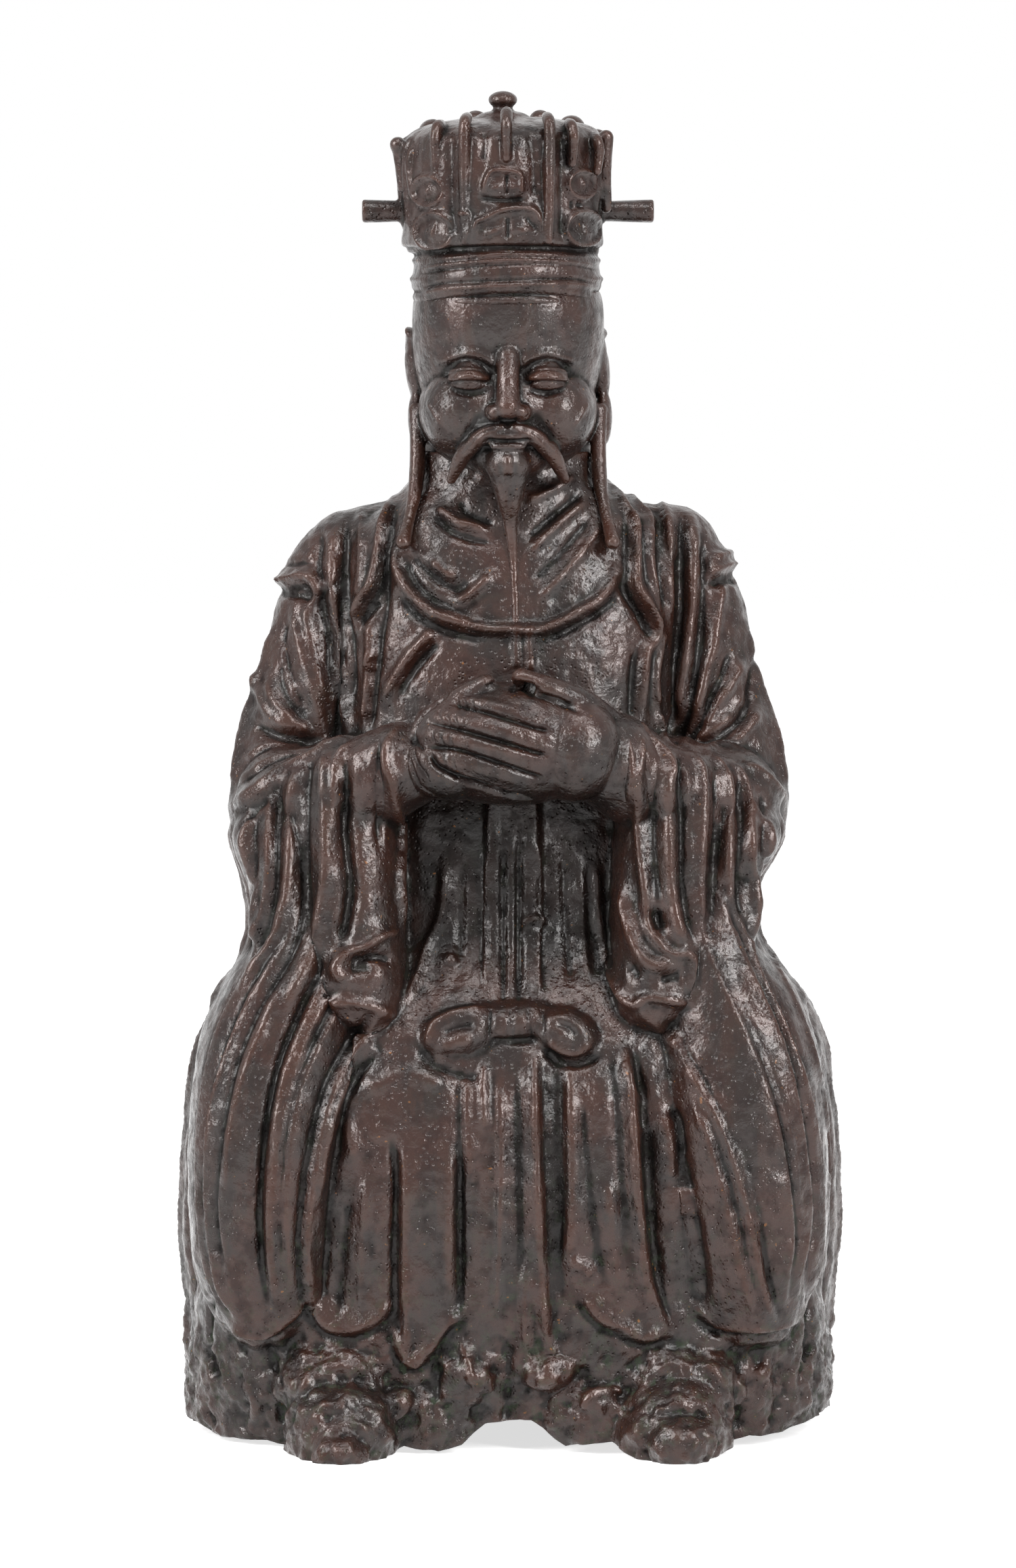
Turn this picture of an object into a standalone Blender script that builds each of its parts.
"""Bronze seated immortal: a robed court figure with clasped hands under a ribbed crown.

The real one is a single hollow casting: a bronze skin poured round a clay core, open at the foot.
The model is made in the same order. Blocks of wax are melted into one skin, the drapery is drawn on
that skin fold by fold, and the core and the uneven foot are cut out of it.

+Z is up, the figure faces -Y, and +X is to the right of someone who faces it. The driving sizes are in
metres, and the points of the wax blocks and of the folds are in millimetres.
"""

import math

import bmesh
import bpy
import numpy as np
from mathutils import Matrix, Vector
from mathutils.bvhtree import BVHTree

# Driving sizes of the casting.
WALL = 0.0045
SEAT_HALF_WIDTH = 0.0646
SEAT_BACK_Y = 0.0415
LAP_SPREAD = 0.0439
LAP_HALF_WIDTH = 0.0184
LAP_FRONT_Y = -0.0443
SKIRT_FRONT_Y = -0.0430
SHOULDER_SPREAD = 0.0344
ELBOW_SPREAD = 0.0436
SLEEVE_FRONT_Y = -0.0350
HAND_FRONT_Y = -0.0450
HAND_HALF_WIDTH = 0.0200
FINGER_RADIUS = 0.0026
CHIN_Z = 0.1872
HEAD_HALF_WIDTH = 0.0188
FACE_HEIGHT = 0.0344
BAND_HEIGHT = 0.0098
CROWN_HEIGHT = 0.0256
CROWN_HALF_WIDTH = 0.0198
RIB_RADIUS = 0.0014
PEG_REACH = 0.0288
PEG_RADIUS = 0.0023
KNOB_RADIUS = 0.0028
SHOE_SPREAD = 0.0318
SHOE_HALF_WIDTH = 0.0112
SHOE_TIP_Y = -0.0540
FOLD_RELIEF = 1.3

# The skin as it leaves the wax: its grain, and the triangles that the finished skin keeps.
WAX_GRAIN = 0.0011
SKIN_TRIANGLES = 10600
CORE_TRIANGLES = 500

# Folds are laid out as they are seen from this far in front and this high, with the toes at nought.
EYE_DISTANCE = 1.550
EYE_HEIGHT = 0.225
SIGHT_TOE_Y = -0.050

MM = 0.001
BRONZE = (0.060, 0.036, 0.024, 1.0)


def clear_scene():
    for old in list(bpy.data.objects):
        bpy.data.objects.remove(old, do_unlink=True)


def new_collection(name):
    collection = bpy.data.collections.new(name)
    bpy.context.scene.collection.children.link(collection)
    return collection


def add_object(name, mesh, collection):
    thing = bpy.data.objects.new(name, mesh)
    collection.objects.link(thing)
    return thing


def smooth_path(points, steps=6):
    """Rows along a Catmull-Rom curve through the given rows, of any length."""
    rows = np.asarray(points, float)
    rows = np.vstack([2 * rows[0] - rows[1], rows, 2 * rows[-1] - rows[-2]])
    t = np.linspace(0.0, 1.0, steps, endpoint=False)[:, None]
    spans = []
    for a, b, c, d in zip(rows[:-3], rows[1:-2], rows[2:-1], rows[3:]):
        spans.append(0.5 * (2 * b + (c - a) * t + (2 * a - 5 * b + 4 * c - d) * t ** 2
                            + (3 * b - a - 3 * c + d) * t ** 3))
    spans.append(rows[-2][None])
    return np.vstack(spans)


def toe_drop():
    """How far the middle plane's zero stands above the toes' in that view, in millimetres."""
    return (EYE_HEIGHT * EYE_DISTANCE / (EYE_DISTANCE + SIGHT_TOE_Y) - EYE_HEIGHT) / MM


def seen(u, v, y):
    """The point at depth y that is seen u to the right and v above the toes, all in millimetres."""
    share = 1 + y * MM / EYE_DISTANCE
    eye = EYE_HEIGHT / MM
    return (u * share, y, eye + (v - toe_drop() - eye) * share)


def shown(x, y, z):
    """Where a point is seen: to the right of the middle, and above the toes."""
    share = 1 + y * MM / EYE_DISTANCE
    eye = EYE_HEIGHT / MM
    return (x / share, (z - eye) / share + eye + toe_drop())


class Wax:
    """Closed blocks that overlap, gathered in one mesh before they are melted together."""

    def __init__(self, name, collection):
        self.name = name
        self.collection = collection
        self.bm = bmesh.new()

    def loft(self, stations, power=2.5, sides=40, steps=6):
        """A closed block through level rings: (z, half width, front y, back y, middle x)."""
        rings = []
        for z, half, front, back, middle in smooth_path(stations, steps):
            ring = []
            for i in range(sides):
                turn = 2 * math.pi * i / sides
                c, s = math.cos(turn), math.sin(turn)
                x = middle + half * math.copysign(abs(c) ** (2 / power), c)
                y = (front + back) / 2 + (back - front) / 2 * math.copysign(abs(s) ** (2 / power), s)
                ring.append(self.bm.verts.new((x * MM, y * MM, z * MM)))
            rings.append(ring)
        for low, high in zip(rings[:-1], rings[1:]):
            for i in range(sides):
                j = (i + 1) % sides
                self.bm.faces.new((low[i], low[j], high[j], high[i]))
        self.bm.faces.new(rings[0][::-1])
        self.bm.faces.new(rings[-1])

    def ball(self, centre, radii, turn=0.0, lean=0.0):
        """An ellipsoid, turned about Z and then leant about Y, in degrees."""
        place = (Matrix.Translation(Vector(centre) * MM) @ Matrix.Rotation(math.radians(lean), 4, "Y")
                 @ Matrix.Rotation(math.radians(turn), 4, "Z") @ Matrix.Diagonal((*radii, 1000.0)) * MM)
        ball = bmesh.new()
        bmesh.ops.create_uvsphere(ball, u_segments=24, v_segments=16, radius=1.0, matrix=place)
        mesh = bpy.data.meshes.new("ball")
        ball.to_mesh(mesh)
        ball.free()
        self.bm.from_mesh(mesh)
        bpy.data.meshes.remove(mesh)

    def tube(self, *points, steps=6):
        """A round bar through (x, y, z, radius), with balls for ends."""
        curve = bpy.data.curves.new("bar", "CURVE")
        curve.dimensions = "3D"
        curve.bevel_depth = MM
        curve.bevel_resolution = 4
        curve.use_fill_caps = True
        rows = smooth_path(points, steps)
        spline = curve.splines.new("POLY")
        spline.points.add(len(rows) - 1)
        for point, (x, y, z, radius) in zip(spline.points, rows):
            point.co = (x * MM, y * MM, z * MM, 1.0)
            point.radius = radius
        bar = add_object("bar", curve, self.collection)
        mesh = bpy.data.meshes.new_from_object(bar.evaluated_get(bpy.context.evaluated_depsgraph_get()))
        self.bm.from_mesh(mesh)
        for x, y, z, radius in (points[0], points[-1]):
            self.ball((x, y, z), (radius, radius, radius))
        bpy.data.objects.remove(bar, do_unlink=True)
        bpy.data.meshes.remove(mesh)
        bpy.data.curves.remove(curve)

    def melted(self, grain, smoothing):
        """One closed skin round all the blocks, in an object of its own."""
        mesh = bpy.data.meshes.new(self.name)
        self.bm.to_mesh(mesh)
        self.bm.free()
        body = add_object(self.name, mesh, self.collection)
        remesh = body.modifiers.new("melt", "REMESH")
        remesh.mode = "VOXEL"
        remesh.voxel_size = grain
        smooth = body.modifiers.new("soften", "SMOOTH")
        smooth.factor = 0.5
        smooth.iterations = smoothing
        apply_modifiers(body)
        keep_largest_shell(body.data)
        return body


def apply_modifiers(body):
    evaluated = body.evaluated_get(bpy.context.evaluated_depsgraph_get())
    mesh = bpy.data.meshes.new_from_object(evaluated)
    old = body.data
    body.modifiers.clear()
    body.data = mesh
    mesh.name = body.name
    bpy.data.meshes.remove(old)


def keep_largest_shell(mesh):
    """Deletes the small shells that melting leaves round trapped pockets."""
    bm = bmesh.new()
    bm.from_mesh(mesh)
    shells = []
    unseen = set(bm.verts)
    while unseen:
        shell = {unseen.pop()}
        front = list(shell)
        while front:
            for edge in front.pop().link_edges:
                for vert in edge.verts:
                    if vert in unseen:
                        unseen.discard(vert)
                        shell.add(vert)
                        front.append(vert)
        shells.append(shell)
    shells.sort(key=len)
    for shell in shells[:-1]:
        bmesh.ops.delete(bm, geom=list(shell), context="VERTS")
    bm.to_mesh(mesh)
    bm.free()


def seat_stations(inset=0.0):
    """The boxy mass of the seat with the robe over it, from the floor to the hips."""
    half = SEAT_HALF_WIDTH / MM - inset
    back = SEAT_BACK_Y / MM - inset
    return [(-4, half - 4.6, -20 + inset, back - 2, 0), (18, half - 1.4, -27 + inset, back, 0),
            (36, half, -30 + inset, back, 0), (56, half - 0.4, -31 + inset, back - 1, 0.2),
            (68, half - 2.4, -30 + inset, back - 2.5, 0.6), (77, half - 4.8, -28 + inset, back - 4, 0.6),
            (86, half - 9.6, -26 + inset, back - 5.5, 0.2), (95, half - 15.6, -24 + inset, back - 7.5, 0)]


def trunk_stations(inset=0.0):
    """Hips to shoulders under the robe."""
    spread = SHOULDER_SPREAD / MM - inset
    return [(80, spread + 6.5, -29 + inset, 35 - inset, 0), (90, spread + 6.5, -28 + inset, 34.5 - inset, 0),
            (97, spread + 5.5, -26.8 + inset, 33.5 - inset, 0), (117, spread + 2.5, -25 + inset, 31 - inset, 0),
            (137, spread + 0.6, -23.5 + inset, 29.5 - inset, 0), (155, spread + 0.6, -22 + inset, 27.5 - inset, 0),
            (166, spread, -20 + inset, 26 - inset, 0)]


def add_body(wax):
    """Seat, rounded foot, hips, trunk and the slope of the shoulders up to the neck."""
    half = SEAT_HALF_WIDTH / MM
    back = SEAT_BACK_Y / MM
    spread = SHOULDER_SPREAD / MM
    wax.loft(seat_stations(), power=3.0)
    wax.loft([(-4, half - 5.6, -32, back - 2.5, 0), (4, half - 3.1, -34.5, back - 1, 0),
              (12, half - 1.6, -37, back - 0.5, 0), (20, half - 1.2, -38.8, back - 0.5, 0),
              (28, half - 2, -39.5, back - 1.5, 0), (36, half - 6.6, -38, back - 3.5, 0)], power=2.6)
    wax.loft(trunk_stations(), power=2.4)
    wax.loft([(158, spread + 0.6, -21.5, 26.5, 0), (167, spread + 0.6, -19.8, 25, 0),
              (173, spread - 1.4, -18.2, 23, 0), (177.5, spread - 3.9, -16.8, 21, 0.6),
              (181, spread - 8.4, -15.6, 19, 0.8), (184, spread - 12.9, -14.6, 17, 0.4),
              (187, spread - 15.4, -13.6, 15.5, 0), (192, spread - 16, -12, 14, 0)], power=2.3)


def add_arms(wax):
    """Upper arms under the robe, then the forearms that come forward to the hands."""
    shoulder = SHOULDER_SPREAD / MM
    elbow = ELBOW_SPREAD / MM
    for side in (-1, 1):
        wax.tube((side * (shoulder - 15.4), 3, 174.5, 8.5), (side * (shoulder - 4.1), 3, 170.6, 9.8),
                 (side * shoulder, 2, 163, 10.4), (side * (elbow - 6), 0, 148, 11),
                 (side * (elbow - 1.6), -2, 133, 11), (side * elbow, -5, 123, 10.8))
        wax.tube((side * elbow, -6, 123, 11), (side * (elbow - 5.6), -17, 124.5, 10.8),
                 (side * (elbow - 14.6), -26, 127.5, 9.8), (side * (elbow - 22.6), -30, 132, 8.5))
        wax.tube((side * (elbow - 1.3), -14, 124, 11), (side * (elbow - 3.1), -21, 112, 10),
                 (side * (elbow - 3.6), -24, 101, 10.5))


def add_sleeves(wax):
    """The hanging bags of the sleeves, flat to the front, with their mouths towards the middle."""
    front = SLEEVE_FRONT_Y / MM
    elbow = ELBOW_SPREAD / MM
    for side in (-1, 1):
        wax.loft([(81.5, 5, front - 1, -12, side * (elbow - 16)), (84.5, 8, front - 3.6, -8, side * (elbow - 15.6)),
                  (90, 9.4, front - 4.4, -6, side * (elbow - 14.8)), (98, 10, front - 3.4, -6, side * (elbow - 13.8)),
                  (106, 10.2, front - 2, -4, side * (elbow - 13.4)), (117, 10.6, front - 0.8, -4, side * (elbow - 12.6)),
                  (126, 10.8, front + 1.5, -4, side * (elbow - 12)), (134, 8.5, front + 6, -8, side * (elbow - 13.2)),
                  (137, 6, front + 9, -12, side * (elbow - 14.6))], power=2.7)


def add_legs(wax):
    """The lap: a bell of robe over each knee, from the forearm down to its hem, and the skirt between."""
    middle = LAP_SPREAD / MM
    half = LAP_HALF_WIDTH / MM
    front = LAP_FRONT_Y / MM
    for side in (-1, 1):
        wax.loft([(z, half - narrow, front + recess, back, side * (middle + out))
                  for z, narrow, recess, back, out in (
                      (19.5, 14.4, 10.3, -16, 2.6), (22, 9.9, 6.3, -10, 2.6), (28, 5.6, 3.3, -4, 2.1),
                      (36, 2.6, 1.3, 2, 1.5), (46, 0.8, 0.3, 6, 0.7), (58, 0.1, 0, 8, 0), (68, 0, 0.7, 10, -0.7),
                      (78, 0.8, 2.7, 10, -1.5), (88, 3.8, 5.3, 8, -2.7), (98, 7.4, 8.3, 6, -4.3),
                      (108, 7.8, 10.9, 5, -4.7), (118, 7.4, 13.8, 4, -2.8), (126, 9.4, 20.3, 2, -1.9))], power=2.25)
    skirt = SKIRT_FRONT_Y / MM
    wax.loft([(20, middle - 9.9, skirt + 5, -5, 0), (23.5, middle - 3.9, skirt + 2, -5, 0),
              (35, middle + 0.1, skirt + 0.6, -5, 0), (50, middle + 1.1, skirt, -5, 0),
              (64, middle + 1.1, skirt + 0.8, -5, 0), (74, middle - 1.9, skirt + 3, -5, 0),
              (82, middle - 5.9, skirt + 6, -5, 0), (88, middle - 10.9, skirt + 9.5, -5, 0),
              (94, middle - 16.9, skirt + 14, -5, 0), (102, middle - 25.9, skirt + 18, -5, 0)], power=3.0)


def add_feet(wax):
    """Low rounded shoes under the hem, and the ends of cloth that lie between them."""
    half = SHOE_HALF_WIDTH / MM
    tip = SHOE_TIP_Y / MM
    for side in (-1, 1):
        middle = side * SHOE_SPREAD / MM
        wax.ball((middle, tip + 18, 5), (half, 15.5, 10.2))
        wax.ball((middle, tip + 18, 13), (half - 1.2, 10, 6.5))
        wax.ball((middle, tip + 7.4, 4.4), (half - 4.8, 7.4, 4.6))
    wax.ball((-26, -43.5, 9.6), (2.6, 4, 2.9))
    wax.ball((-21.4, -40, 10), (2.4, 4, 2.6))
    wax.ball((18.5, -37.5, 9), (4.2, 4, 3.4))
    wax.ball((-7, -40.2, 13.2), (4.4, 3.6, 3.6))
    wax.ball((-10, -38.8, 7), (5, 3.6, 3.6))
    wax.ball((7.5, -40.2, 14.2), (4.0, 3.6, 3.2))
    wax.ball((11.5, -38.2, 8), (3.6, 3.4, 3.4))


def add_hands(wax):
    """Two clasped hands, the right-hand one in front with its fingers across the other."""
    half = HAND_HALF_WIDTH / MM
    front = HAND_FRONT_Y / MM
    wax.ball((0.5, front + 12, 136.5), (half, 11.5, 12))
    wax.ball((half - 7, front + 9.5, 135.5), (8.8, 8.6, 10.2), lean=6)
    wax.ball((-half + 8.5, front + 10.5, 133), (9, 7.5, 7.4))
    finger = FINGER_RADIUS / MM
    tips = ((-10.5, 149.6, 0.9), (-15.0, 146.2, 1.0), (-17.2, 141.8, 1.0), (-14.5, 137.3, 0.9))
    for i, (x, v, size) in enumerate(tips):
        knuckle = seen(8, 145.5 - 4.3 * i, front + 2)
        middle = seen(-4, v - 1.2 + 0.1 * i, front + 0.8)
        end = seen(x, v, front + 6)
        wax.tube((*knuckle, finger), (*middle, finger * size), (*end, finger * size * 0.85))
    wax.tube((*seen(19, 146, front + 13), 3.4), (*seen(14, 149.8, front + 9), 3.3), (*seen(8, 152.6, front + 7), 2.6),
             (*seen(2.6, 155, front + 7.5), 1.9))
    wax.tube((*seen(-15, 146, front + 14), 3.4), (*seen(-9, 150.5, front + 10), 3),
             (*seen(-4.4, 153.6, front + 8.5), 2.1))


def add_girdle(wax):
    """The girdle's bow on the lap and the three straps that hang to it from under the hands."""
    for x, half in ((-2.7, 1.7), (0.6, 1.4), (4.3, 2.0)):
        wax.loft([(80, half, -37, -20, x), (88, half, -34, -20, x), (96, half, -29.6, -18, x),
                  (104, half, -28.2, -18, x), (129, half, -26.5, -18, x)], power=4, sides=20)
    wax.ball(seen(-10.3, 84.8, -37.2), (7.4, 4.6, 5.2), lean=-8)
    wax.ball(seen(11.8, 84.6, -37.2), (6.6, 4.6, 5.0), lean=12)
    wax.ball(seen(1, 87.4, -36), (7.5, 4.4, 3.6))
    wax.tube((*seen(-1.5, 84, -36), 1.5), (*seen(-1.4, 60, -41.6), 1.3), (*seen(-2, 40, -42), 1.3),
             (*seen(-5, 20, -40), 2.2))
    wax.tube((*seen(5, 80, -36.6), 2), (*seen(6.5, 58, -41.4), 2), (*seen(6.3, 38, -41.6), 2),
             (*seen(7.5, 20, -39.6), 2.2))


def add_head(wax):
    """Neck, skull, cheeks, jaw, ears, side cords, nose and the pointed beard."""
    half = HEAD_HALF_WIDTH / MM
    chin = CHIN_Z / MM
    face = FACE_HEIGHT / MM
    wax.loft([(chin - 16, half - 1.3, -12, 16, 0), (chin - 4, half - 1.8, -9, 15, 0),
              (chin + 12, half - 1.5, -8, 14, 0)], power=2.3)
    wax.ball((0, -4.5, chin + face * 0.64), (half, 20, face * 0.55))
    wax.ball((0, -8.5, chin + face * 0.34), (half * 0.86, 16.5, face * 0.36))
    wax.ball((0, -14.5, chin + 3.6), (6.6, 8.5, 4.4))
    for side in (-1, 1):
        wax.ball((side * 9.5, -15.5, chin + face * 0.40), (6.8, 8.2, 6.6))
        wax.ball((side * half, 1.0, chin + face * 0.60), (1.9, 4.3, 7.6), lean=side * 4)
        wax.ball((side * half * 1.03, -0.5, chin + face * 0.33), (1.8, 2.8, 5.6))
        wax.tube((side * (half - 0.8), -4, chin + 13, 1.5), (side * (half - 1.2), -7, chin + 5, 1.7),
                 (side * (half - 0.8), -10, chin - 2, 1.6), (side * (half + 0.4), -14, chin - 8, 1.4),
                 (side * (half + 1.5), -17, chin - 12.5, 1.7))
    wax.tube((0, -24.2, chin + face * 0.66, 1.4), (0, -26.0, chin + face * 0.52, 1.7),
             (0, -28.0, chin + face * 0.385, 2.3))
    wax.ball((0, -14.5, chin - 5), (6, 6, 8))
    wax.tube((0, -21.6, chin + 2.4, 4.0), (0, -20.8, chin - 3, 3.2), (0.4, -18.8, chin - 9, 2.3),
             (1.0, -18.4, chin - 16, 1.7), (1.4, -19.6, chin - 23, 1.5), (1.5, -21, chin - 28, 1.4))


def crown_wall(x, behind=False):
    """The y of the crown's wall at that x."""
    across = math.sqrt(max(0.0, 1 - (x / (CROWN_HALF_WIDTH / MM + 1)) ** 2))
    return -3.9 + (20.4 * across if behind else -20.4 * across)


def add_crown(wax):
    """The tall crown: a band, a flared cap with ribs that curl over its rim, two pegs and a knob."""
    half = CROWN_HALF_WIDTH / MM
    base = (CHIN_Z + FACE_HEIGHT) / MM
    foot = base + BAND_HEIGHT / MM
    top = foot + CROWN_HEIGHT / MM
    wax.loft([(base - 6, half - 2.6, -21.5, 14, 0), (base - 1, half - 2.2, -23.4, 15, 0),
              (base + 2, half - 1.5, -24, 15.5, 0), (base + 4, half - 1.4, -24.2, 15.8, 0),
              (base + 7, half - 1.8, -24, 15.5, 0), (foot - 0.8, half - 2.4, -23.4, 15, 0),
              (foot + 0.8, half - 1.6, -23.8, 15.5, 0), (foot + 6, half - 0.5, -24.4, 16.6, 0),
              (foot + 14, half, -24.4, 16.6, 0), (top - 5.6, half - 0.2, -24, 16.3, 0),
              (top - 3.2, half - 1.2, -22.6, 15, 0), (top - 1.4, half - 4.3, -18.5, 11.5, 0),
              (top, half - 11.8, -11, 4, 0)], power=2.15)
    rib = RIB_RADIUS / MM
    for x, low, high in ((-18.8, 10.5, 19.5), (-14, 14, 24), (-8.4, 1.5, 25.3), (-0.3, 17.5, 26.4), (8, 1.5, 25.4),
                         (12.6, 16.5, 24.2), (17.6, 15, 21.6)):
        wall = crown_wall(x)
        wax.tube((x * 0.98, wall, foot + low, rib * 0.8), (x, wall - 0.6, foot + high - 3, rib),
                 (x * 0.97, wall + 1.2, foot + high - 0.4, rib * 1.1), (x * 0.93, wall + 4.6, foot + high, rib * 0.9))
    for x, high, size in ((-15.3, 25.6, 2.2), (-6.6, 27.4, 2.2), (6.6, 27.5, 2.0), (12.4, 26.2, 2.2), (18, 23.4, 2.0)):
        wall = crown_wall(x, behind=True)
        wax.tube((x, wall + 0.4, foot + 6, rib), (x, wall + 0.6, foot + 16, rib),
                 (x * 0.96, wall - 1.5, foot + high - size, size))
    peg = PEG_RADIUS / MM
    for side in (-1, 1):
        wax.tube((side * (half - 4), -3.5, foot + 7.4, peg * 0.8), (side * (half + 2.4), -3.5, foot + 7.4, peg * 0.9),
                 (side * (PEG_REACH / MM - peg), -3.5, foot + 7.3, peg))
    knob = KNOB_RADIUS / MM
    wax.ball((-1, -6, foot + 25.2), (5.5, 5, 1.8))
    wax.tube((-1, -6, foot + 24, knob * 0.9), (-1, -6, foot + 27.6, knob * 0.7))
    wax.ball((-1, -6, foot + 29), (knob, knob, knob * 0.6))
    for x, z, radius in ((-15.5, 15.5, 3.0), (-14.6, 7.6, 3.7), (14.2, 16.8, 2.8), (14.6, 8.2, 3.5)):
        wax.ball((x, crown_wall(x) + 1.6, foot + z), (radius, 2.4, radius))
    wax.ball((-1.2, crown_wall(0) + 1.2, foot + 17.4), (3.6, 1.8, 3.0))
    wax.ball((0, crown_wall(0) + 1.2, foot + 8.8), (6.8, 1.6, 3.0))


def ridge(height, width, *points, side="front"):
    """A raised line on the skin: millimetres high at its crest, and wide to half its height."""
    return {"height": height, "width": width, "points": points, "side": side}


def groove(depth, width, *points, side="front"):
    return ridge(-depth, width, *points, side=side)


def collar_folds():
    return [
        ridge(1.2, 1.3, (-22.5, 180), (-20.5, 173.5), (-15, 168), (-8, 165.5), (0, 164.4), (8, 165),
              (14, 168), (20, 173), (21.5, 175)),
        groove(0.9, 1.1, (-19.5, 179), (-17.5, 174), (-12, 169.5)),
        ridge(1.0, 1.2, (-14, 188), (-10, 185.5), (-4.5, 184)),
        groove(0.8, 1.0, (-14.5, 187), (-10, 183.3), (-3, 181.5)),
        ridge(0.8, 1.1, (-14, 177), (-10, 175)),
        ridge(1.0, 1.2, (-10, 169.8), (-7, 171.8), (-3.5, 175)),
        groove(0.9, 1.1, (14, 191), (11, 188.5), (8, 186), (4.5, 183)),
        ridge(1.0, 1.2, (14.7, 188.5), (9, 184), (5, 179.8)),
        groove(0.8, 1.0, (16, 186), (12, 180), (6, 174)),
        ridge(0.9, 1.2, (17.5, 183), (13, 176), (7, 170)),
        ridge(0.9, 1.2, (4.5, 165), (4.2, 162), (4.6, 157.5)),
        ridge(0.8, 1.1, (1.8, 165), (1.6, 161), (1.8, 158)),
        ridge(0.9, 1.4, (-14.5, 164.3), (-20, 158.5), (-24.3, 151)),
    ]


def robe_folds():
    """The open outer robe over the shoulders and down the chest, with the tufts on the upper arms."""
    return [
        ridge(1.2, 1.4, (-22, 190), (-23.5, 185), (-25, 178), (-27, 172), (-29.7, 167)),
        groove(1.0, 1.3, (-24, 178), (-23.8, 170), (-25.5, 160), (-26.5, 150), (-27, 145)),
        ridge(1.0, 1.5, (-27, 166), (-27.5, 157), (-28.5, 147)),
        groove(0.9, 1.2, (-31.5, 186), (-31.6, 176), (-31, 166), (-30.5, 158)),
        ridge(1.1, 1.6, (-34.3, 181), (-34.2, 171), (-33.2, 160), (-32, 150)),
        groove(0.9, 1.2, (-36.8, 184), (-37, 174), (-36, 165)),
        ridge(1.1, 1.4, (-45.5, 174), (-41, 174.2), (-37, 173.5), (-38.5, 169.5)),
        groove(0.8, 1.0, (-45, 172), (-41, 172), (-38.7, 171)),
        ridge(0.9, 1.5, (-41.8, 168), (-40.8, 160), (-38, 151), (-36, 143)),
        ridge(0.8, 1.4, (-48.5, 155), (-47, 149), (-43.5, 146)),
        groove(0.8, 1.3, (-45, 157), (-44, 152.5), (-41, 148)),
        groove(0.9, 1.3, (-50, 145), (-46.5, 143.5), (-43, 141.5)),
        ridge(1.3, 1.4, (20, 193), (23, 188), (24.3, 181), (25, 171), (28.5, 165.5), (28.5, 162),
              (26.6, 157), (26.3, 146)),
        groove(1.1, 1.2, (22, 173), (24.5, 169.5), (27, 165)),
        ridge(0.8, 1.2, (22.5, 192), (26, 188.5), (28, 186)),
        ridge(0.8, 1.2, (29, 190), (31.5, 187), (32, 184.5)),
        ridge(1.2, 1.9, (36.3, 179), (36.4, 170), (35, 160), (33.5, 149)),
        ridge(0.9, 1.4, (42.3, 174), (41.3, 167), (39.5, 158), (36.8, 148)),
        ridge(0.9, 1.2, (30.4, 162), (29.5, 158), (29, 153)),
        groove(0.9, 1.2, (38, 182), (38, 174), (37.5, 165)),
        ridge(1.0, 1.3, (39.5, 175), (42, 176.3), (44.5, 176.8)),
        groove(0.8, 1.2, (48, 161), (47.5, 153), (45, 147)),
        ridge(0.9, 1.3, (46.5, 157), (43, 152), (38.5, 145)),
        ridge(0.9, 1.3, (49.5, 148), (45, 143), (39, 141)),
        groove(0.8, 1.1, (33.5, 150), (32.3, 146), (31.5, 142)),
        groove(0.8, 1.1, (38, 149), (35, 145), (33, 141.5)),
    ]


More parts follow.
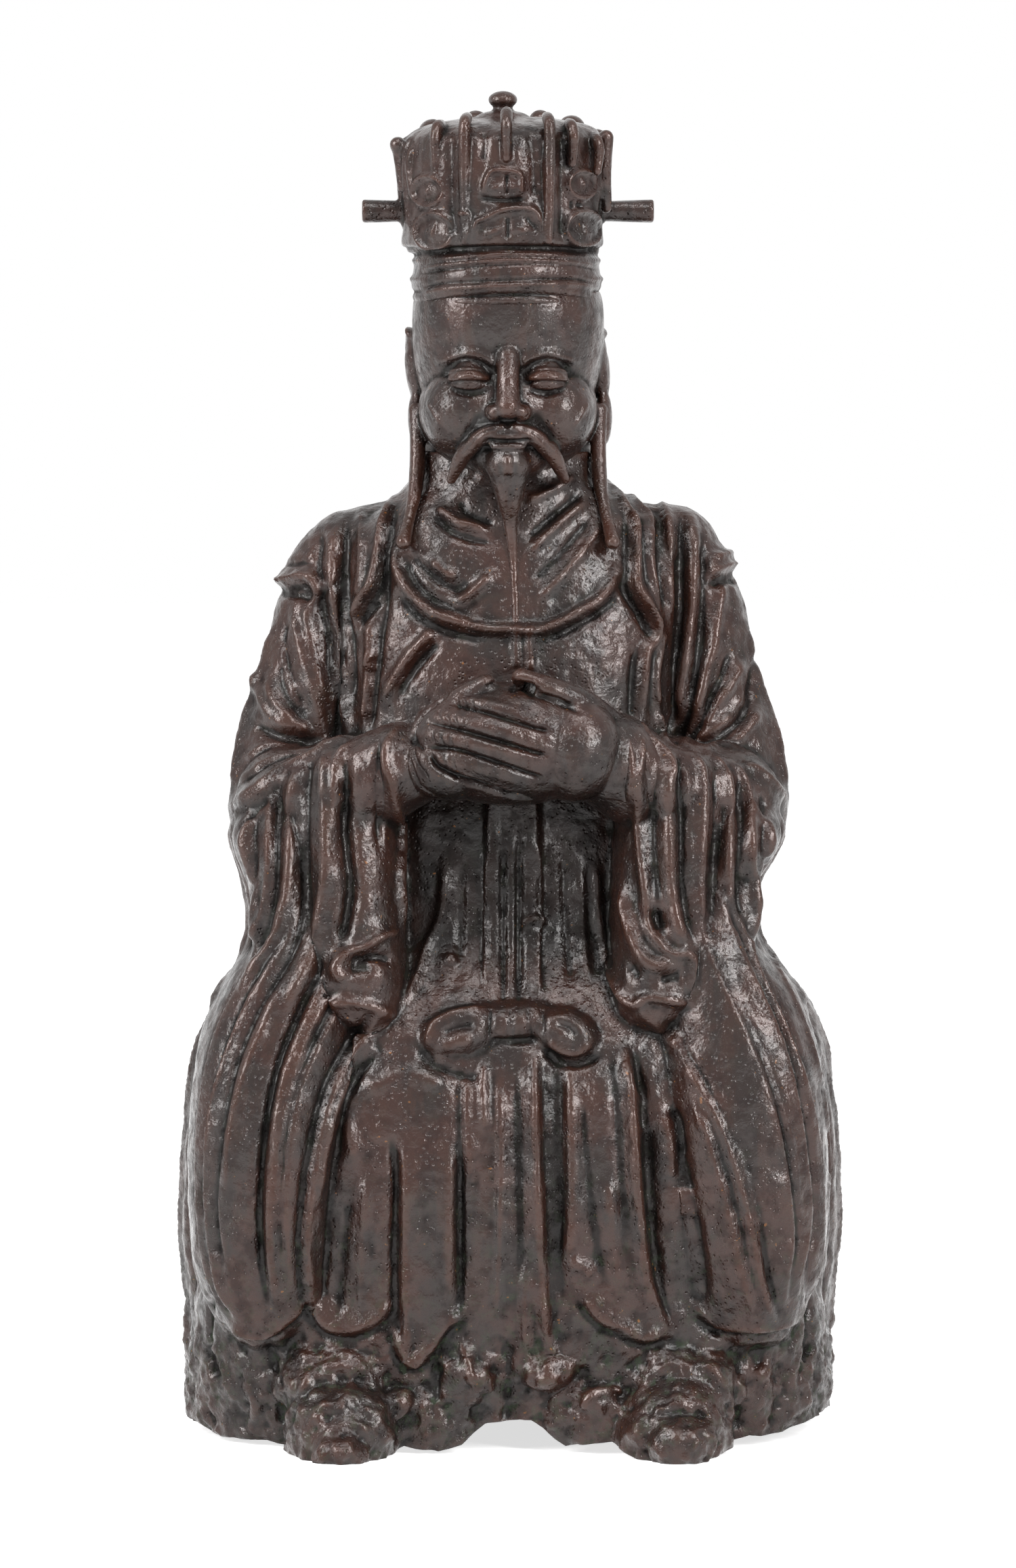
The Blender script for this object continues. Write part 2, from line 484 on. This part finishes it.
def sleeve_folds():
    return [
        ridge(1.0, 1.5, (-54, 130), (-48, 134.8), (-40, 139.3), (-31, 143.3)),
        groove(0.9, 1.3, (-53, 134), (-46, 139), (-38, 140.8)),
        groove(0.8, 1.2, (-53, 127), (-49, 130.5), (-44, 134)),
        ridge(1.2, 1.7, (-41.5, 137), (-42.8, 127), (-43.5, 113), (-46, 103), (-51, 94)),
        groove(0.9, 1.4, (-39, 139), (-40, 128), (-40, 112), (-42, 102), (-46, 94)),
        ridge(1.2, 1.7, (-35.5, 141.5), (-36, 130), (-36, 115), (-38.5, 101), (-43, 91)),
        groove(1.9, 1.6, (-32, 137), (-32, 124), (-31, 113), (-32.5, 103)),
        groove(0.9, 1.3, (-25.3, 143), (-25.3, 131), (-25.6, 118)),
        ridge(1.2, 1.4, (-22, 145), (-24, 139), (-22.3, 131), (-21.4, 120), (-21.3, 106)),
        ridge(1.4, 1.5, (-21.5, 105), (-28, 102), (-33, 99.5), (-33, 96)),
        groove(1.4, 1.5, (-33, 101.5), (-28, 100.8), (-22, 100)),
        ridge(1.0, 1.3, (-37, 93), (-30, 90.7), (-22, 88.5)),
        groove(1.1, 1.6, (-49, 132), (-48.5, 120), (-49.5, 110)),
        ridge(1.1, 1.5, (24.5, 146), (30, 141), (32.3, 137)),
        ridge(1.0, 1.3, (23, 145.5), (24, 138)),
        ridge(1.0, 1.5, (26, 144), (25.6, 130), (26.3, 118), (27.3, 110)),
        ridge(1.4, 1.9, (31.5, 137), (31.8, 124), (32.3, 112), (35, 102)),
        groove(1.2, 1.3, (33.6, 139), (34, 126), (34.5, 113), (36, 104)),
        groove(0.9, 1.2, (29, 137), (28.8, 124), (29.5, 112)),
        ridge(1.1, 1.6, (36, 139.8), (38.4, 132), (38.2, 122), (37.5, 110)),
        ridge(1.0, 1.5, (40, 139.5), (43.4, 133), (43.6, 122), (43.4, 110)),
        groove(1.0, 1.4, (45.2, 133), (45.4, 120), (46, 108)),
        ridge(1.0, 1.6, (46, 137), (49.5, 131), (50.4, 122), (49.6, 110)),
        ridge(1.5, 1.6, (22.5, 113), (24, 105.5), (28, 99), (32, 98)),
        ridge(1.2, 1.4, (27, 111), (30, 102.8), (35.5, 100.3), (36, 94)),
        groove(1.7, 1.5, (28.5, 110), (29.8, 105.5)),
        groove(1.3, 1.5, (30, 96), (34, 96)),
        ridge(1.0, 1.3, (20, 96), (24, 90.8), (30, 92), (36, 91)),
        ridge(1.0, 1.3, (17.4, 114), (18.3, 105), (20, 97)),
        ridge(1.0, 1.3, (-12.2, 119), (-13.5, 108), (-17.5, 97), (-21, 91)),
        groove(0.9, 1.3, (10.5, 120), (11, 108), (12, 96)),
        ridge(0.9, 1.4, (-11, 100.5), (-11, 98.5)),
    ]


def lap_folds():
    return [
        ridge(1.2, 1.6, (-50.5, 88), (-55, 75), (-58, 60), (-58.6, 47), (-55.5, 30)),
        ridge(1.0, 1.5, (-49, 83), (-53.5, 69), (-56.2, 54), (-56, 37)),
        groove(1.0, 1.4, (-47, 84), (-51.5, 68), (-53.5, 52), (-52.5, 34)),
        ridge(1.0, 1.6, (-38, 97), (-46, 85), (-51, 73), (-52.5, 66)),
        ridge(1.4, 1.8, (-36, 91), (-41, 78), (-44.5, 65), (-45.5, 49)),
        groove(1.1, 1.5, (-42.3, 66), (-42.8, 54), (-43, 40)),
        ridge(1.4, 1.8, (-24, 87), (-31.5, 78.5), (-37.3, 66), (-39.7, 52), (-41, 33)),
        groove(1.2, 1.6, (-36, 58), (-37.5, 47), (-38.5, 34)),
        ridge(1.0, 1.6, (-48.5, 105), (-52, 97), (-57, 86)),
        ridge(1.0, 1.6, (-42, 104), (-48, 93), (-52, 85)),
        groove(0.9, 1.4, (-45.5, 104), (-50, 95), (-54, 87)),
        ridge(0.9, 1.6, (-31, 72), (-31.5, 66), (-29, 60)),
        groove(1.0, 1.5, (-23, 63), (-21.8, 50), (-22.5, 27)),
        groove(0.9, 1.4, (-9.5, 62), (-9, 45), (-9, 30)),
        ridge(1.0, 1.5, (-20, 21.5), (-14, 25), (-9, 29)),
        ridge(1.0, 1.5, (-35, 26.5), (-30, 27.5), (-24, 31)),
        ridge(1.0, 1.4, (-27.5, 56), (-28.5, 44), (-29, 31)),
        groove(1.3, 1.9, (-7.3, 50), (-7.4, 36)),
        ridge(0.9, 1.2, (-4.5, 78), (-4.5, 66)),
        groove(1.2, 1.8, (9.2, 76), (9.4, 60), (8.8, 44)),
        ridge(0.9, 1.3, (11.6, 78), (12, 60), (11, 44)),
        ridge(1.5, 1.6, (22.5, 81), (24.5, 68), (26, 50), (27, 38), (31, 26)),
        groove(1.2, 1.5, (25.5, 80), (27.6, 66), (29, 50), (30, 36)),
        ridge(1.0, 1.4, (30.5, 68), (32, 61), (31.5, 52)),
        groove(1.0, 1.4, (32.5, 70), (35, 62)),
        ridge(1.2, 2.8, (35, 54), (35, 50)),
        ridge(1.4, 1.8, (34, 82), (40, 71.5), (45.5, 57), (48.5, 43), (53, 28)),
        ridge(1.2, 1.7, (37, 71), (42.5, 55), (45.5, 42), (48.5, 31)),
        groove(1.0, 1.4, (42.5, 72), (47, 60), (50.5, 46), (53, 34)),
        ridge(1.1, 1.6, (44, 83), (52, 70), (56, 57), (58, 38)),
        ridge(1.0, 1.5, (52, 84), (59, 69), (62.5, 54)),
        groove(1.0, 1.4, (50, 84), (56.5, 70), (60, 56), (60.5, 40)),
        ridge(1.0, 1.6, (38, 109), (40.5, 100), (45, 91)),
        ridge(1.0, 1.6, (41.5, 115), (47, 101), (55, 85)),
        ridge(0.9, 1.5, (47.8, 112), (54, 96), (59, 86)),
        ridge(0.9, 1.5, (26, 90), (30, 86), (34, 82)),
        ridge(1.1, 1.6, (16, 32), (21, 27.5), (31, 24.5)),
        ridge(1.1, 1.6, (40, 29), (47, 27), (55, 25)),
        groove(1.3, 1.6, (17, 66), (18.5, 50), (19.5, 34)),
        groove(1.0, 1.5, (34, 60), (37, 46), (38, 31)),
        ridge(0.9, 1.4, (-51, 26), (-55, 28), (-58.5, 36)),
    ]


def foot_folds():
    return [
        ridge(0.9, 1.2, (-40, 15.5), (-32, 17), (-24, 15)),
        groove(0.9, 1.0, (-39, 13), (-32, 14), (-25, 12.5)),
        ridge(0.9, 1.2, (24, 15), (32, 17.5), (42, 15.5)),
        groove(0.9, 1.0, (25, 13), (32, 14.5), (40, 13)),
        groove(0.8, 1.0, (30, 9.5), (35, 9.8), (40, 9.5)),
        ridge(1.2, 1.8, (-26.5, 12), (-26.5, 11)),
        ridge(1.0, 1.4, (-21.5, 12.4), (-21.5, 11.6)),
        ridge(1.0, 1.2, (14.5, 11), (17, 13.5), (22, 14.5)),
        groove(1.0, 1.5, (-58.5, 34), (-59, 26), (-57, 16)),
        groove(1.0, 1.5, (59, 34), (59.5, 26), (58, 16)),
        groove(0.9, 1.4, (-14, 20), (-14.5, 12), (-15, 5)),
        groove(0.9, 1.4, (0, 26), (0, 14), (-0.5, 6)),
    ]


def hand_folds():
    return [
        groove(0.9, 0.8, (-10, 149.8), (-5, 148.5), (0, 147), (6, 145)),
        groove(0.9, 0.8, (-15, 146.5), (-5, 143.5), (0, 142), (6, 140)),
        groove(0.9, 0.8, (-16, 142), (-6, 139.5), (0, 137.5), (6, 135.5)),
        groove(1.2, 1.0, (-18, 138.5), (-13, 136.5), (-5, 133.6), (5, 131.5)),
        groove(1.4, 1.4, (0.5, 153.2), (5.5, 153)),
    ]


def face_folds():
    """Brows, eyes, mouth and moustache. Heights are from the chin, as shares of the face."""
    def on_face(x, share):
        return shown(x, -24, (CHIN_Z + FACE_HEIGHT * share) / MM)

    folds = [groove(0.5, 0.8, on_face(-4.2, 0.215), on_face(0, 0.205), on_face(4.2, 0.215))]
    for side in (-1, 1):
        folds += [
            ridge(0.7, 1.3, on_face(side * 2.6, 0.645), on_face(side * 7.5, 0.69), on_face(side * 13, 0.65)),
            groove(0.8, 1.5, on_face(side * 3.4, 0.60), on_face(side * 7.5, 0.615), on_face(side * 12, 0.585)),
            ridge(0.8, 1.3, on_face(side * 4.6, 0.545), on_face(side * 7.8, 0.56), on_face(side * 11, 0.545)),
            groove(0.5, 0.7, on_face(side * 4, 0.528), on_face(side * 7.8, 0.528), on_face(side * 11.5, 0.53)),
            ridge(0.5, 1.0, on_face(side * 1.9, 0.335), on_face(side * 3.2, 0.35)),
            ridge(0.8, 1.0, on_face(side * 0.8, 0.285), on_face(side * 5, 0.25), on_face(side * 8, 0.12),
                  on_face(side * 8.6, 0.0)),
        ]
    return folds


def crown_folds():
    base = (CHIN_Z + FACE_HEIGHT) / MM
    foot = base + BAND_HEIGHT / MM

    def row(z):
        return [shown(x, crown_wall(x), z) for x in (-16, -8, 0, 8, 16)]

    return [
        groove(0.9, 1.0, *row(base + 0.4)),
        ridge(0.7, 1.1, *row(base + 2.6)),
        groove(0.7, 1.0, *row(base + 4.8)),
        ridge(0.7, 1.1, *row(foot - 2.6)),
        groove(0.9, 1.0, *row(foot - 0.2)),
        groove(0.8, 0.9, (-6, 248.6), (0, 248.4), (4, 248.8)),
        groove(0.7, 0.8, (-0.2, 251), (-0.2, 254)),
        groove(0.7, 0.8, (0, 241), (0, 245)),
    ]


def back_folds():
    """Plain drapery behind: the robe falls from the shoulders and spreads over the seat."""
    folds = [
        ridge(1.3, 3.0, (-16, 178), (0, 172), (16, 178), side="back"),
        groove(1.2, 3.0, (-48, 100), (-25, 92), (0, 89), (25, 92), (48, 100), side="back"),
    ]
    for x, sway in ((9, 4), (26, 12)):
        for side in (-1, 1):
            folds.append(ridge(1.3, 3.6, (side * x * 0.8, 165), (side * x, 130), (side * (x + sway * 0.4), 100),
                               side="back"))
            folds.append(ridge(1.4, 4.0, (side * (x + 2), 84), (side * (x + sway * 0.7), 50),
                               (side * (x + sway), 8), side="back"))
    for name in ("left", "right"):
        folds += [
            groove(1.0, 3.0, (-12, 92), (4, 97), (22, 98), side=name),
            ridge(0.6, 3.6, (22, 84), (25, 50), (26, 10), side=name),
            ridge(0.6, 3.6, (2, 82), (4, 50), (4, 12), side=name),
        ]
    return folds


def sight_line(side, across, up):
    """Where a fold's point is looked at from, and which way, for a fold on that side."""
    if side == "front":
        eye = Vector((0, -EYE_DISTANCE, EYE_HEIGHT))
        return eye, (Vector(seen(across, up, 0)) * MM - eye).normalized()
    if side == "back":
        return Vector((across, 400, up)) * MM, Vector((0, -1, 0))
    turn = -1 if side == "left" else 1
    return Vector((turn * 400, across, up)) * MM, Vector((-turn, 0, 0))


def draw_folds(body, folds):
    """Lifts or presses the skin along each fold, in proportion to the nearness of its path."""
    mesh = body.data
    count = len(mesh.vertices)
    place = np.empty(count * 3, np.float64)
    mesh.vertices.foreach_get("co", place)
    place = place.reshape(-1, 3)
    normal = np.array([v.normal[:] for v in mesh.vertices])
    skin = BVHTree.FromPolygons([v.co[:] for v in mesh.vertices], [p.vertices[:] for p in mesh.polygons])
    lift = np.zeros(count)
    for fold in folds:
        path = smooth_path(fold["points"], 12)
        hits, ways, shares = [], [], []
        for i, (across, up) in enumerate(path):
            start, look = sight_line(fold["side"], across, up)
            hit, way, _, _ = skin.ray_cast(start, look)
            if hit is not None:
                hits.append(hit[:])
                ways.append(way[:])
                shares.append(i / (len(path) - 1))
        if not hits:
            continue
        hits, ways, shares = np.array(hits), np.array(ways), np.array(shares)
        width = fold["width"] * MM
        near = np.all((place > hits.min(0) - 3 * width) & (place < hits.max(0) + 3 * width), axis=1)
        index = np.flatnonzero(near)
        gap = np.linalg.norm(place[index, None] - hits[None], axis=2)
        best = gap.argmin(1)
        reach = gap[np.arange(len(index)), best]
        facing = np.clip((normal[index] * ways[best]).sum(1) * 1.5, 0, 1)
        ends = np.clip(np.minimum(shares, 1 - shares) * 8 + 0.35, 0, 1)
        lift[index] += fold["height"] * MM * np.exp(-(reach / width) ** 2) * facing * ends[best]
    place += normal * (lift * FOLD_RELIEF)[:, None]
    mesh.vertices.foreach_set("co", place.ravel())
    mesh.update()


def thin_out(body, triangles, focus=None):
    """Merges faces where the skin is flat, and keeps more of them where focus says so."""
    body.data.calc_loop_triangles()
    thin = body.modifiers.new("thin", "DECIMATE")
    thin.ratio = triangles / len(body.data.loop_triangles)
    thin.use_collapse_triangulate = True
    if focus:
        group = body.vertex_groups.new(name="fine")
        for vert in body.data.vertices:
            group.add([vert.index], focus(vert.co), "REPLACE")
        thin.vertex_group = group.name
        thin.invert_vertex_group = True
        thin.vertex_group_factor = 0.04
    apply_modifiers(body)


def keep_fine(point):
    """Face, crown and hands keep more faces than the robe."""
    if point.z > CHIN_Z - 0.004:
        return 0.2
    if point.y < HAND_FRONT_Y + 0.014 and 0.120 < point.z < 0.154 and abs(point.x) < HAND_HALF_WIDTH + 0.002:
        return 0.4
    return 0.0


def make_core(cutters):
    """The clay core: the seat and trunk again, one wall smaller, and a lobe between the shoes."""
    core = Wax("core", cutters)
    inset = WALL / MM
    seat = seat_stations(inset)
    top, *width = seat[-1]
    core.loft([(-9, *seat[0][1:]), *seat[1:-1], (top - inset, *width)], power=3.0)
    core.loft(trunk_stations(inset), power=2.4)
    core.loft([(-9, 17, -34, 0, 0), (10, 17, -34, 0, 0), (20, 14, -32, 0, 0), (26, 8, -28, 0, 0)], power=2.6)
    body = core.melted(2 * WAX_GRAIN, 6)
    thin_out(body, CORE_TRIANGLES)
    return body


def make_rim(cutters):
    """The uneven lower edge: what lies below it is cut away, and the soles and heels stay down."""
    heights = ((-66, 3.5), (-58, 3.2), (-52, 1.6), (-45, 0.8), (-40, -1), (-24, -1), (-20, 1.6), (-14, 1.0), (-9, 2.2),
               (-5, 6.0), (2, 7.0), (7, 4.5), (11, 1.2), (17, 2.2), (21, 2.6), (25, -1), (40, -1), (46, 2.2),
               (55, 3.2), (60, 3.6), (66, 4.5))
    rows = smooth_path(heights, 3)
    depths = ((-60, 1.0), (-20, 1.0), (0, 1.15), (20, 0.7), (34, 0.25), (39, 0.0), (60, 0.0))
    bm = bmesh.new()
    grid = []
    for y, share in depths:
        line = []
        for x, height in rows:
            top = height if height < 0 else height * share
            if share == 0.0:
                top = -1
            line.append((bm.verts.new((x * MM, y * MM, top * MM)), bm.verts.new((x * MM, y * MM, -0.01))))
        grid.append(line)
    for a, b in zip(grid[:-1], grid[1:]):
        for i in range(len(rows) - 1):
            bm.faces.new((a[i][0], a[i + 1][0], b[i + 1][0], b[i][0]))
            bm.faces.new((a[i][1], b[i][1], b[i + 1][1], a[i + 1][1]))
    for i in range(len(rows) - 1):
        bm.faces.new((grid[0][i][0], grid[0][i][1], grid[0][i + 1][1], grid[0][i + 1][0]))
        bm.faces.new((grid[-1][i][0], grid[-1][i + 1][0], grid[-1][i + 1][1], grid[-1][i][1]))
    for a, b in zip(grid[:-1], grid[1:]):
        bm.faces.new((a[0][0], b[0][0], b[0][1], a[0][1]))
        bm.faces.new((a[-1][0], a[-1][1], b[-1][1], b[-1][0]))
    bmesh.ops.recalc_face_normals(bm, faces=bm.faces)
    mesh = bpy.data.meshes.new("rim")
    bm.to_mesh(mesh)
    bm.free()
    return add_object("rim", mesh, cutters)


def make_floor(cutters):
    """Everything below the floor, which levels the soles and the back edge."""
    bm = bmesh.new()
    place = Matrix.Translation((0, 0, -0.02)) @ Matrix.Diagonal((0.2, 0.2, 0.04, 1.0))
    bmesh.ops.create_cube(bm, size=1.0, matrix=place)
    mesh = bpy.data.meshes.new("floor")
    bm.to_mesh(mesh)
    bm.free()
    return add_object("floor", mesh, cutters)


def cut(body, cutter):
    cutter.hide_render = True
    cutter.display_type = "WIRE"
    boolean = body.modifiers.new(cutter.name, "BOOLEAN")
    boolean.operation = "DIFFERENCE"
    boolean.solver = "EXACT"
    boolean.object = cutter


def bronze_material():
    material = bpy.data.materials.new("brown bronze")
    material.use_nodes = True
    shader = material.node_tree.nodes["Principled BSDF"]
    shader.inputs["Base Color"].default_value = BRONZE
    shader.inputs["Metallic"].default_value = 1.0
    shader.inputs["Roughness"].default_value = 0.45
    return material


def centre_on_floor(body, cutters):
    """Puts the origin on the floor under the middle of the casting."""
    xs = [v.co.x for v in body.data.vertices]
    ys = [v.co.y for v in body.data.vertices]
    shift = Vector((-(min(xs) + max(xs)) / 2, -(min(ys) + max(ys)) / 2, 0))
    for thing in (body, *cutters):
        thing.data.transform(Matrix.Translation(shift))


clear_scene()
figure_parts = new_collection("bronze immortal figure")
cutter_parts = new_collection("cutters")

figure_wax = Wax("bronze_figure", figure_parts)
for add_block in (add_body, add_arms, add_sleeves, add_legs, add_feet, add_hands, add_girdle, add_head, add_crown):
    add_block(figure_wax)
figure = figure_wax.melted(WAX_GRAIN, 3)
draw_folds(figure, collar_folds() + robe_folds() + sleeve_folds() + lap_folds() + foot_folds() + hand_folds()
           + face_folds() + crown_folds() + back_folds())
thin_out(figure, SKIN_TRIANGLES, keep_fine)
cutter_objects = [make_core(cutter_parts), make_rim(cutter_parts), make_floor(cutter_parts)]
for cutter_object in cutter_objects:
    cut(figure, cutter_object)
centre_on_floor(figure, cutter_objects)
figure.data.materials.clear()
figure.data.materials.append(bronze_material())
figure.data.shade_smooth()
